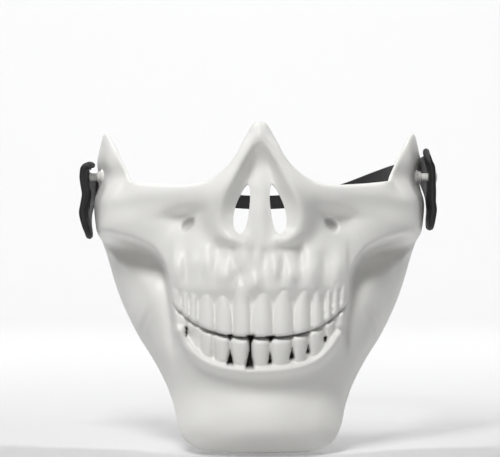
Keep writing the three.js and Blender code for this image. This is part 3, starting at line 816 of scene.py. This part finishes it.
def washer_mesh(side):
    low, high = (corner[0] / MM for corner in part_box("left_stud_washer"))
    bm = bmesh.new()
    profile = (
        (2.2, low + 0.3), (2.6, low), (4.4, low), (4.8, low + 0.25), (4.9, low + 0.6), (4.9, high - 0.3),
        (4.6, high), (2.2, high),
    )
    turn_profile(bm, profile, side)
    return bm


# ---- Materials -------------------------------------------------------------------------------


class Nodes:
    """A short hand for building one material's node tree."""

    def __init__(self, name):
        self.material = bpy.data.materials.new(name)
        self.material.use_nodes = True
        self.tree = self.material.node_tree
        self.shader = self.tree.nodes["Principled BSDF"]
        self.place = self.add("ShaderNodeTexCoord").outputs["Object"]

    def add(self, kind, **values):
        node = self.tree.nodes.new(kind)
        for key, value in values.items():
            if key in node.inputs:
                if isinstance(value, bpy.types.NodeSocket):
                    self.tree.links.new(value, node.inputs[key])
                else:
                    node.inputs[key].default_value = value
            else:
                setattr(node, key, value)
        return node

    def link(self, socket, name):
        self.tree.links.new(socket, self.shader.inputs[name])

    def noise(self, scale, detail=4.0, roughness=0.55):
        return self.add("ShaderNodeTexNoise", Vector=self.place, Scale=scale, Detail=detail, Roughness=roughness)

    def blend(self, factor, low, high):
        """Mixes two colours, each a socket or red, green and blue."""
        mix = self.add("ShaderNodeMix", data_type="RGBA")
        self.tree.links.new(factor, mix.inputs["Factor"])
        for key, value in (("A", low), ("B", high)):
            if isinstance(value, bpy.types.NodeSocket):
                self.tree.links.new(value, mix.inputs[key])
            else:
                mix.inputs[key].default_value = (*value, 1)
        return mix.outputs["Result"]

    def spread(self, socket, low, high, to_low=0.0, to_high=1.0):
        node = self.add("ShaderNodeMapRange")
        self.tree.links.new(socket, node.inputs["Value"])
        for key, value in (("From Min", low), ("From Max", high), ("To Min", to_low), ("To Max", to_high)):
            node.inputs[key].default_value = value
        return node.outputs["Result"]


def shell_plastic(settings):
    made = bpy.data.materials.get("moulded_plastic")
    if made:
        return made
    n = Nodes("moulded_plastic")
    colour = np.array(settings.colour)
    clouds = n.noise(28, 5).outputs["Fac"]
    tone = n.blend(n.spread(clouds, 0.35, 0.65), colour * 0.985, colour * 1.01)
    scuffs = n.add("ShaderNodeMapping", Vector=n.place)
    scuffs.inputs["Scale"].default_value = (1, 1, 0.22)
    scuffs.inputs["Rotation"].default_value = (0, 0.5, 0)
    marks = n.add("ShaderNodeTexNoise", Vector=scuffs.outputs["Vector"], Scale=620.0, Detail=2.0).outputs["Fac"]
    scuffed = n.blend(n.spread(marks, 0.66, 0.74, 0, 0.35), tone, colour * 0.9)
    # Painted shade: where the painted shade mark is set, the plastic turns near black, for the shade in the tooth
    # gaps, the bite crease and the small holes.
    gap = n.add("ShaderNodeAttribute", attribute_name="gap").outputs["Fac"]
    n.link(n.blend(gap, scuffed, (0.035, 0.033, 0.03)), "Base Color")
    grain = n.noise(900, 3).outputs["Fac"]
    n.link(n.spread(grain, 0.3, 0.7, settings.roughness - 0.05, settings.roughness + 0.07), "Roughness")
    bump = n.add("ShaderNodeBump", Strength=0.08, Distance=0.0002, Height=grain)
    n.link(bump.outputs["Normal"], "Normal")
    n.shader.inputs["Specular IOR Level"].default_value = 0.35
    return n.material


def satin_plastic(name, colour):
    n = Nodes(name)
    marks = n.noise(400, 4).outputs["Fac"]
    tone = n.blend(n.spread(marks, 0.3, 0.7), np.array(colour) * 0.96, colour)
    n.link(tone, "Base Color")
    n.link(n.spread(marks, 0.3, 0.7, 0.28, 0.4), "Roughness")
    return n.material


def leatherette(settings):
    n = Nodes("leatherette")
    cells = n.add("ShaderNodeTexVoronoi", Vector=n.place, Scale=900.0, feature="DISTANCE_TO_EDGE").outputs["Distance"]
    creases = n.noise(160, 6, 0.6).outputs["Fac"]
    colour = np.array(settings.tab_colour)
    tone = n.blend(n.spread(creases, 0.3, 0.75), colour * 0.7, colour * 1.7)
    n.link(tone, "Base Color")
    n.link(n.spread(creases, 0.3, 0.7, 0.5, 0.68), "Roughness")
    height = n.add("ShaderNodeMath", operation="MULTIPLY")
    n.tree.links.new(n.spread(cells, 0.0, 0.25), height.inputs[0])
    n.tree.links.new(n.spread(creases, 0.2, 0.8, 0.4, 1.0), height.inputs[1])
    bump = n.add("ShaderNodeBump", Strength=0.35, Distance=0.0002, Height=height.outputs["Value"])
    n.link(bump.outputs["Normal"], "Normal")
    return n.material


def woven_elastic(settings):
    n = Nodes("woven_elastic")
    place = n.add("ShaderNodeCombineXYZ")
    for name, key in (("along", "X"), ("across", "Y")):
        n.tree.links.new(n.add("ShaderNodeAttribute", attribute_name=name).outputs["Fac"], place.inputs[key])
    waves = {"Vector": place.outputs["Vector"], "wave_type": "BANDS"}
    ribs = n.add("ShaderNodeTexWave", Scale=0.26, bands_direction="X", **waves)
    rows = n.add("ShaderNodeTexWave", Scale=0.3, bands_direction="Y", **waves)
    weave = n.add("ShaderNodeMath", operation="MULTIPLY")
    n.tree.links.new(ribs.outputs["Fac"], weave.inputs[0])
    n.tree.links.new(rows.outputs["Fac"], weave.inputs[1])
    colour = np.array(settings.band_colour)
    tone = n.blend(weave.outputs["Value"], colour * 0.6, colour * 1.9)
    n.link(tone, "Base Color")
    n.shader.inputs["Roughness"].default_value = 0.82
    n.shader.inputs["Sheen Weight"].default_value = 0.15
    bump = n.add("ShaderNodeBump", Strength=0.6, Distance=0.0002, Height=weave.outputs["Value"])
    n.link(bump.outputs["Normal"], "Normal")
    return n.material


# ---- Placing -----------------------------------------------------------------------------------

SIDES = (("left", 1), ("right", -1))


def place_piece(name, bm, material, body, slot, *nodes):
    piece = new_object(name, bm, material)
    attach(piece, body)
    if nodes:
        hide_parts(*nodes)
    return piece


# ---- Stage ------------------------------------------------------------------------------------

FLOOR_DROP = 0.0005  # the floor lies just under the chin
FLOOR_HALF_WIDTH = 3
COVE_START, COVE_RADIUS, COVE_TOP = 1.2, 0.8, 2.6
WORLD_STRENGTH = 0.04
# Lights: (name, place, aimed at, size, power).
LIGHTS = (
    ("key", (-0.28, -0.98, 1.15), (0, -0.03, -0.03), 0.45, 18.2),
    ("front_fill", (0.1, -1.4, -0.02), (0, 0, -0.09), 0.4, 1.2),
    ("backdrop_left", (-0.9, 0.45, 1.3), (-0.4, 2.0, 0.1), 0.6, 27.0),
    ("backdrop_right", (0.9, 0.45, 1.3), (0.4, 2.0, 0.1), 0.6, 27.0),
)


def floor_mesh():
    """A floor that curves up into a wall behind the mask."""
    low = SHELL_LOW[2] * MM - FLOOR_DROP
    back = COVE_START + COVE_RADIUS
    bend = [(y, 0.0) for y in (-2.5, -1.0, 0.0, COVE_START)]
    for turn in np.linspace(0.1, math.pi / 2, 16):
        bend.append((COVE_START + COVE_RADIUS * math.sin(turn), COVE_RADIUS * (1 - math.cos(turn))))
    bend += [(back, 2 * COVE_RADIUS), (back, COVE_TOP)]
    bm = bmesh.new()
    line = [bm.verts.new((-FLOOR_HALF_WIDTH, y, low + z)) for y, z in bend]
    edges = [bm.edges.new(pair) for pair in zip(line[:-1], line[1:])]
    swept = bmesh.ops.extrude_edge_only(bm, edges=edges)["geom"]
    moved = [v for v in swept if isinstance(v, bmesh.types.BMVert)]
    bmesh.ops.translate(bm, verts=moved, vec=(2 * FLOOR_HALF_WIDTH, 0, 0))
    return bm


# ---- Operators -------------------------------------------------------------------------------


class MASK_OT_shell(bpy.types.Operator):
    """Sculpts the moulded skull shell and cuts its nostrils"""

    bl_idname = "mask.shell"
    bl_label = "Mask shell"

    def execute(self, context):
        settings = context.scene.mask_shell
        plastic = shell_plastic(settings)
        shell = place_piece("skull_shell", shell_mesh(settings), plastic, "shell", "shell_plastic", "mask_shell")
        cut_away(shell, [nostril_cutter(side) for side in (-1, 1)])
        return {"FINISHED"}


class MASK_OT_bosses(bpy.types.Operator):
    """Moulds the bosses that carry the studs"""

    bl_idname = "mask.bosses"
    bl_label = "Stud bosses"

    def execute(self, context):
        plastic = shell_plastic(context.scene.mask_shell)
        for word, side in SIDES:
            place_piece(f"{word}_stud_boss", boss_mesh(side), plastic, "shell", "shell_plastic")
        return {"FINISHED"}


class MASK_OT_studs(bpy.types.Operator):
    """Turns the mushroom studs"""

    bl_idname = "mask.studs"
    bl_label = "Studs"

    def execute(self, context):
        white = satin_plastic("stud_plastic", (0.78, 0.775, 0.75))
        for word, side in SIDES:
            place_piece(f"{word}_mushroom_stud", stud_mesh(side), white, "shell", "stud_plastic", f"{word}_stud")
        return {"FINISHED"}


class MASK_OT_washers(bpy.types.Operator):
    """Turns the push-on washers inside the shell"""

    bl_idname = "mask.washers"
    bl_label = "Stud washers"

    def execute(self, context):
        pale = satin_plastic("washer_plastic", (0.72, 0.72, 0.70))
        for word, side in SIDES:
            name, node = f"{word}_push_on_washer", f"{word}_stud_washer"
            place_piece(name, washer_mesh(side), pale, "shell", "washer_plastic", node)
        return {"FINISHED"}


class MASK_OT_tabs(bpy.types.Operator):
    """Shapes the soft tabs and cuts their button holes"""

    bl_idname = "mask.tabs"
    bl_label = "Soft tabs"

    def execute(self, context):
        settings = context.scene.mask_strap
        leather = leatherette(settings)
        for word, side in SIDES:
            name, node = f"{word}_soft_tab", f"{word}_strap_tab"
            tab = place_piece(name, tab_mesh(side, settings), leather, "strap", "tab_leatherette", node)
            cut_away(tab, [hole_cutter(side)])
        return {"FINISHED"}


class MASK_OT_stitching(bpy.types.Operator):
    """Sews the crossed boxes that hold the band to the tabs"""

    bl_idname = "mask.stitching"
    bl_label = "Box stitching"

    def execute(self, context):
        thread = satin_plastic("sewing_thread", (0.03, 0.029, 0.031))
        for word, side in SIDES:
            place_piece(f"{word}_box_stitch", stitch_mesh(side), thread, "strap", "thread", f"{word}_strap_stitching")
        return {"FINISHED"}


class MASK_OT_band(bpy.types.Operator):
    """Weaves the elastic band round the back of the head"""

    bl_idname = "mask.band"
    bl_label = "Elastic band"

    def execute(self, context):
        elastic = woven_elastic(context.scene.mask_strap)
        place_piece("elastic_band", band_mesh(), elastic, "strap", "elastic", "strap_band")
        return {"FINISHED"}


class MASK_OT_stage(bpy.types.Operator):
    """Sets the plain floor, the soft lights and the camera"""

    bl_idname = "mask.stage"
    bl_label = "Stage"

    def execute(self, context):
        settings = context.scene.mask_stage
        floor_material = Nodes("pale_floor")
        floor_material.shader.inputs["Base Color"].default_value = (0.62, 0.62, 0.625, 1)
        floor_material.shader.inputs["Roughness"].default_value = 0.9
        new_object("floor", floor_mesh(), floor_material.material)
        world = bpy.data.worlds.new("studio")
        world.use_nodes = True
        world.node_tree.nodes["Background"].inputs["Color"].default_value = (1, 1, 1, 1)
        world.node_tree.nodes["Background"].inputs["Strength"].default_value = WORLD_STRENGTH
        context.scene.world = world
        for name, place, target, size, power in LIGHTS:
            light = bpy.data.lights.new(name, "AREA")
            light.size = size
            light.energy = power
            lamp = bpy.data.objects.new(name, light)
            lamp.location = place
            lamp.rotation_euler = (Vector(target) - Vector(place)).to_track_quat("-Z", "Y").to_euler()
            context.scene.collection.objects.link(lamp)
        context.scene.view_settings.view_transform = "Standard"
        camera_data = bpy.data.cameras.new("camera")
        camera_data.lens = settings.focal
        camera_data.sensor_width = 36
        camera = bpy.data.objects.new("camera", camera_data)
        camera.location = (-0.0048, -STUD_BACK * MM - settings.distance, 0.111 - STUD_RISE * MM)
        camera.rotation_euler = (math.pi / 2, 0, 0)
        context.scene.collection.objects.link(camera)
        context.scene.camera = camera
        return {"FINISHED"}


class MASK_PT_panel(bpy.types.Panel):
    """Lists the mask's pieces and settings"""

    bl_idname = "MASK_PT_panel"
    bl_label = "Skull mask"
    bl_space_type = "VIEW_3D"
    bl_region_type = "UI"
    bl_category = "Mask"

    def draw(self, context):
        for operator in OPERATORS:
            self.layout.operator(operator.bl_idname)
        for group in (context.scene.mask_shell, context.scene.mask_strap, context.scene.mask_stage):
            for key in group.bl_rna.properties.keys():
                if key not in ("rna_type", "name"):
                    self.layout.prop(group, key)


OPERATORS = (
    MASK_OT_stage, MASK_OT_shell, MASK_OT_bosses, MASK_OT_studs, MASK_OT_washers, MASK_OT_tabs,
    MASK_OT_stitching, MASK_OT_band,
)
SETTINGS = (("mask_shell", ShellSettings), ("mask_strap", StrapSettings), ("mask_stage", StageSettings))


def register():
    for cls in [group for _, group in SETTINGS] + list(OPERATORS) + [MASK_PT_panel]:
        bpy.utils.register_class(cls)
    for name, group in SETTINGS:
        setattr(bpy.types.Scene, name, PointerProperty(type=group))


def unregister():
    for name, _ in SETTINGS:
        delattr(bpy.types.Scene, name)
    for cls in [MASK_PT_panel] + list(OPERATORS) + [group for _, group in SETTINGS]:
        bpy.utils.unregister_class(cls)


def main():
    register()
    bpy.ops.mask.stage()
    bpy.ops.mask.shell()
    bpy.ops.mask.bosses()
    bpy.ops.mask.studs()
    bpy.ops.mask.washers()
    bpy.ops.mask.tabs()
    bpy.ops.mask.stitching()
    bpy.ops.mask.band()


if __name__ == "__main__":
    main()
